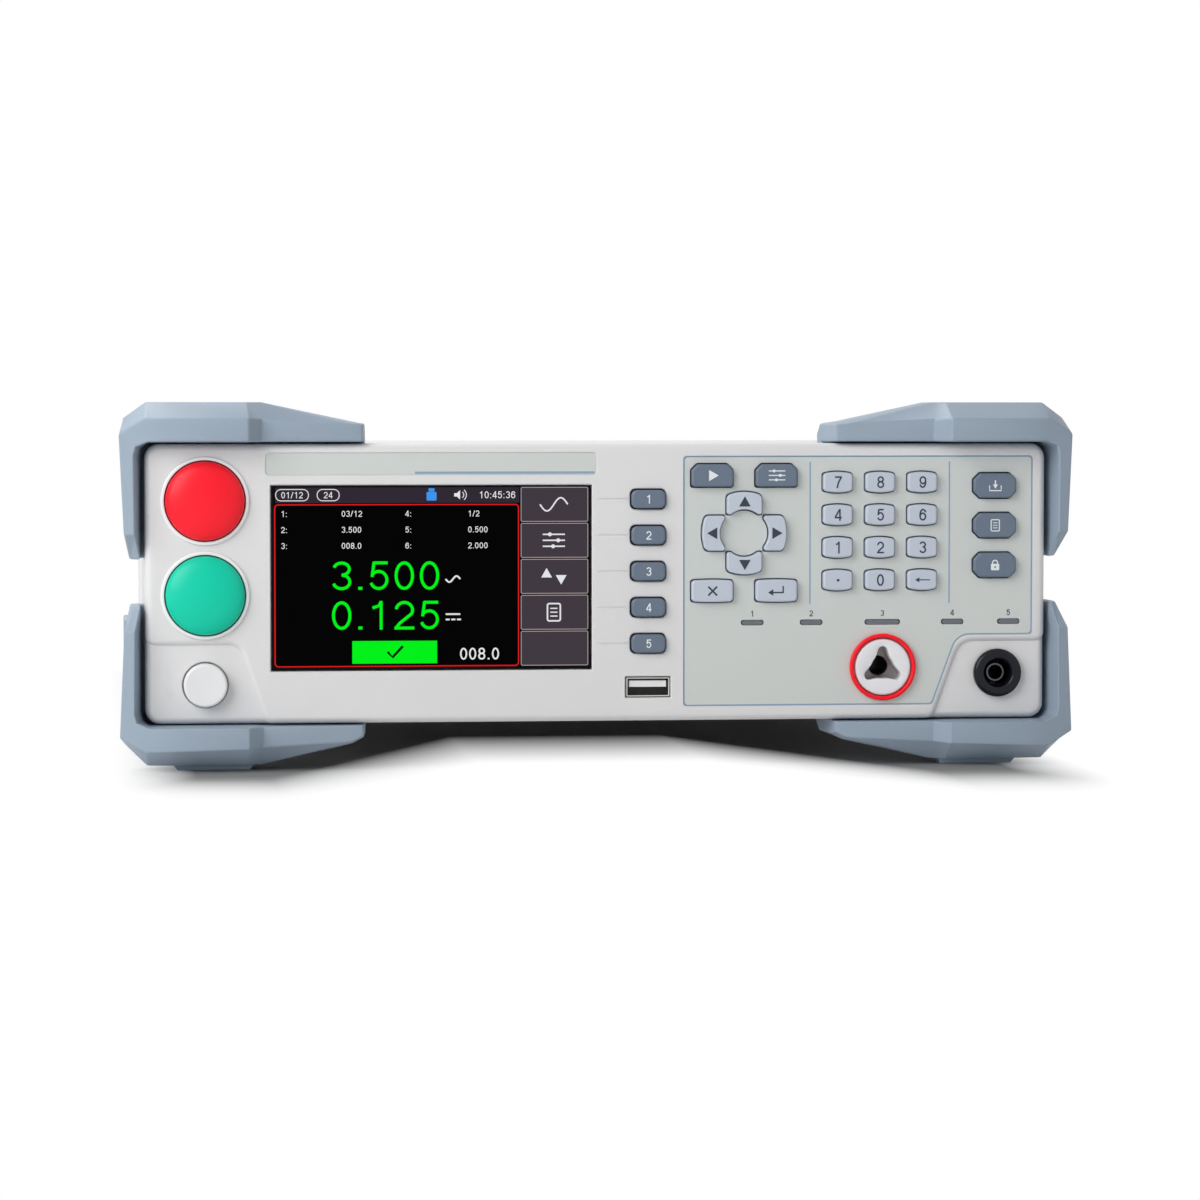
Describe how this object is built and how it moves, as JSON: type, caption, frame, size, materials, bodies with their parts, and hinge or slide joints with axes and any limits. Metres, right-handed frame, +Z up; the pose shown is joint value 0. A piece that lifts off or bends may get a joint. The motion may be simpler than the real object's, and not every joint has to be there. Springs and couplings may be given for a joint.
{
  "type": "hipot tester",
  "caption": "Bench high voltage withstand tester: low metal case with rubber corner guards, colour display, keypad, round stop and start buttons, high voltage outlet and return jack.",
  "frame": {"origin": "middle of the bounding box at the surface that the feet stand on", "axes": "+X to the instrument's right seen from the front, +Y from the front to the rear, +Z up"},
  "size_m": [0.2886, 0.3202, 0.1104],
  "materials": {
    "panel": "fine moulded grain, satin",
    "overlay": "printed film, satin",
    "light_key": "moulded, satin",
    "dark_key": "moulded, satin",
    "red_button": "moulded, glossy",
    "green_button": "moulded, glossy",
    "white_plastic": "moulded, semi-gloss",
    "black_plastic": "moulded, semi-matt",
    "display_glass": "clear hard window over a dark display",
    "metal_plate": "tin plated steel",
    "case_paint": "fine textured powder coat",
    "guard_rubber": "moulded rubber, matt",
    "circuit_board": "solder resist on glass epoxy",
    "transformer": "varnished laminations",
    "light_guide": "smoked clear plastic"
  },
  "bodies": {
    "case": {"front_panel": "panel", "keypad_overlay": "overlay", "display_window": "display_glass", "display_module": "black_plastic", "indicator_light_guide": "light_guide", "hv_socket": "white_plastic", "hv_socket_ring": "red_button", "rtn_socket": "black_plastic", "usb_port": "metal_plate", "front_board": "circuit_board", "power_switch": "black_plastic", "chassis_tray": "case_paint", "top_cover": "case_paint", "rear_panel": "case_paint", "fan_frame": "black_plastic", "mains_inlet": "black_plastic", "hv_transformer": "transformer", "main_board": "circuit_board", "serial_port": "metal_plate", "guard_front_upper_left": "guard_rubber", "guard_front_upper_right": "guard_rubber", "guard_front_lower_left": "guard_rubber", "guard_front_lower_right": "guard_rubber", "guard_rear_upper_left": "guard_rubber", "guard_rear_upper_right": "guard_rubber", "guard_rear_lower_left": "guard_rubber", "guard_rear_lower_right": "guard_rubber"},
    "stop": {"stop_button": "red_button"},
    "start": {"start_button": "green_button"},
    "power": {"power_button": "white_plastic"},
    "f1_key": {"key_f1": "dark_key"},
    "f2_key": {"key_f2": "dark_key"},
    "f3_key": {"key_f3": "dark_key"},
    "f4_key": {"key_f4": "dark_key"},
    "f5_key": {"key_f5": "dark_key"},
    "test_key": {"key_test": "dark_key"},
    "setup_key": {"key_setup": "dark_key"},
    "save_key": {"key_save": "dark_key"},
    "print_key": {"key_print": "dark_key"},
    "lock_key": {"key_lock": "dark_key"},
    "esc_key": {"key_esc": "light_key"},
    "enter_key": {"key_enter": "light_key"},
    "up_key": {"key_up": "light_key"},
    "down_key": {"key_down": "light_key"},
    "left_key": {"key_left": "light_key"},
    "right_key": {"key_right": "light_key"},
    "digit_0": {"key_0": "light_key"},
    "digit_1": {"key_1": "light_key"},
    "digit_2": {"key_2": "light_key"},
    "digit_3": {"key_3": "light_key"},
    "digit_4": {"key_4": "light_key"},
    "digit_5": {"key_5": "light_key"},
    "digit_6": {"key_6": "light_key"},
    "digit_7": {"key_7": "light_key"},
    "digit_8": {"key_8": "light_key"},
    "digit_9": {"key_9": "light_key"},
    "dot_key": {"key_dot": "light_key"},
    "backspace_key": {"key_backspace": "light_key"},
    "fan": {"fan_rotor": "black_plastic"},
    "fuse": {"fuse_drawer": "black_plastic"}
  },
  "joints": [
    {"name": "stop_push", "type": "slide", "parent": "case", "child": "stop", "axis": [0, 1, 0], "range_m": [0, 0.002], "stiffness_N_per_m": 900, "springref_m": -0.001},
    {"name": "start_push", "type": "slide", "parent": "case", "child": "start", "axis": [0, 1, 0], "range_m": [0, 0.002], "stiffness_N_per_m": 900, "springref_m": -0.001},
    {"name": "power_push", "type": "slide", "parent": "case", "child": "power", "axis": [0, 1, 0], "range_m": [0, 0.003], "stiffness_N_per_m": 700, "springref_m": -0.0015},
    {"name": "f1_key_push", "type": "slide", "parent": "case", "child": "f1_key", "axis": [0, 1, 0], "range_m": [0, 0.0012], "stiffness_N_per_m": 900, "springref_m": -0.0008},
    {"name": "f2_key_push", "type": "slide", "parent": "case", "child": "f2_key", "axis": [0, 1, 0], "range_m": [0, 0.0012], "stiffness_N_per_m": 900, "springref_m": -0.0008},
    {"name": "f3_key_push", "type": "slide", "parent": "case", "child": "f3_key", "axis": [0, 1, 0], "range_m": [0, 0.0012], "stiffness_N_per_m": 900, "springref_m": -0.0008},
    {"name": "f4_key_push", "type": "slide", "parent": "case", "child": "f4_key", "axis": [0, 1, 0], "range_m": [0, 0.0012], "stiffness_N_per_m": 900, "springref_m": -0.0008},
    {"name": "f5_key_push", "type": "slide", "parent": "case", "child": "f5_key", "axis": [0, 1, 0], "range_m": [0, 0.0012], "stiffness_N_per_m": 900, "springref_m": -0.0008},
    {"name": "test_key_push", "type": "slide", "parent": "case", "child": "test_key", "axis": [0, 1, 0], "range_m": [0, 0.0012], "stiffness_N_per_m": 900, "springref_m": -0.0008},
    {"name": "setup_key_push", "type": "slide", "parent": "case", "child": "setup_key", "axis": [0, 1, 0], "range_m": [0, 0.0012], "stiffness_N_per_m": 900, "springref_m": -0.0008},
    {"name": "save_key_push", "type": "slide", "parent": "case", "child": "save_key", "axis": [0, 1, 0], "range_m": [0, 0.0012], "stiffness_N_per_m": 900, "springref_m": -0.0008},
    {"name": "print_key_push", "type": "slide", "parent": "case", "child": "print_key", "axis": [0, 1, 0], "range_m": [0, 0.0012], "stiffness_N_per_m": 900, "springref_m": -0.0008},
    {"name": "lock_key_push", "type": "slide", "parent": "case", "child": "lock_key", "axis": [0, 1, 0], "range_m": [0, 0.0012], "stiffness_N_per_m": 900, "springref_m": -0.0008},
    {"name": "esc_key_push", "type": "slide", "parent": "case", "child": "esc_key", "axis": [0, 1, 0], "range_m": [0, 0.0012], "stiffness_N_per_m": 900, "springref_m": -0.0008},
    {"name": "enter_key_push", "type": "slide", "parent": "case", "child": "enter_key", "axis": [0, 1, 0], "range_m": [0, 0.0012], "stiffness_N_per_m": 900, "springref_m": -0.0008},
    {"name": "up_key_push", "type": "slide", "parent": "case", "child": "up_key", "axis": [0, 1, 0], "range_m": [0, 0.0012], "stiffness_N_per_m": 900, "springref_m": -0.0008},
    {"name": "down_key_push", "type": "slide", "parent": "case", "child": "down_key", "axis": [0, 1, 0], "range_m": [0, 0.0012], "stiffness_N_per_m": 900, "springref_m": -0.0008},
    {"name": "left_key_push", "type": "slide", "parent": "case", "child": "left_key", "axis": [0, 1, 0], "range_m": [0, 0.0012], "stiffness_N_per_m": 900, "springref_m": -0.0008},
    {"name": "right_key_push", "type": "slide", "parent": "case", "child": "right_key", "axis": [0, 1, 0], "range_m": [0, 0.0012], "stiffness_N_per_m": 900, "springref_m": -0.0008},
    {"name": "digit_0_push", "type": "slide", "parent": "case", "child": "digit_0", "axis": [0, 1, 0], "range_m": [0, 0.0012], "stiffness_N_per_m": 900, "springref_m": -0.0008},
    {"name": "digit_1_push", "type": "slide", "parent": "case", "child": "digit_1", "axis": [0, 1, 0], "range_m": [0, 0.0012], "stiffness_N_per_m": 900, "springref_m": -0.0008},
    {"name": "digit_2_push", "type": "slide", "parent": "case", "child": "digit_2", "axis": [0, 1, 0], "range_m": [0, 0.0012], "stiffness_N_per_m": 900, "springref_m": -0.0008},
    {"name": "digit_3_push", "type": "slide", "parent": "case", "child": "digit_3", "axis": [0, 1, 0], "range_m": [0, 0.0012], "stiffness_N_per_m": 900, "springref_m": -0.0008},
    {"name": "digit_4_push", "type": "slide", "parent": "case", "child": "digit_4", "axis": [0, 1, 0], "range_m": [0, 0.0012], "stiffness_N_per_m": 900, "springref_m": -0.0008},
    {"name": "digit_5_push", "type": "slide", "parent": "case", "child": "digit_5", "axis": [0, 1, 0], "range_m": [0, 0.0012], "stiffness_N_per_m": 900, "springref_m": -0.0008},
    {"name": "digit_6_push", "type": "slide", "parent": "case", "child": "digit_6", "axis": [0, 1, 0], "range_m": [0, 0.0012], "stiffness_N_per_m": 900, "springref_m": -0.0008},
    {"name": "digit_7_push", "type": "slide", "parent": "case", "child": "digit_7", "axis": [0, 1, 0], "range_m": [0, 0.0012], "stiffness_N_per_m": 900, "springref_m": -0.0008},
    {"name": "digit_8_push", "type": "slide", "parent": "case", "child": "digit_8", "axis": [0, 1, 0], "range_m": [0, 0.0012], "stiffness_N_per_m": 900, "springref_m": -0.0008},
    {"name": "digit_9_push", "type": "slide", "parent": "case", "child": "digit_9", "axis": [0, 1, 0], "range_m": [0, 0.0012], "stiffness_N_per_m": 900, "springref_m": -0.0008},
    {"name": "dot_key_push", "type": "slide", "parent": "case", "child": "dot_key", "axis": [0, 1, 0], "range_m": [0, 0.0012], "stiffness_N_per_m": 900, "springref_m": -0.0008},
    {"name": "backspace_key_push", "type": "slide", "parent": "case", "child": "backspace_key", "axis": [0, 1, 0], "range_m": [0, 0.0012], "stiffness_N_per_m": 900, "springref_m": -0.0008},
    {"name": "fan_spin", "type": "hinge", "parent": "case", "child": "fan", "pos_m": [0.0907, 0.12995, 0.05605], "axis": [0, 1, 0], "continuous": true},
    {"name": "fuse_drawer_slide", "type": "slide", "parent": "case", "child": "fuse", "axis": [0, 1, 0], "range_m": [0, 0.014]}
  ]
}
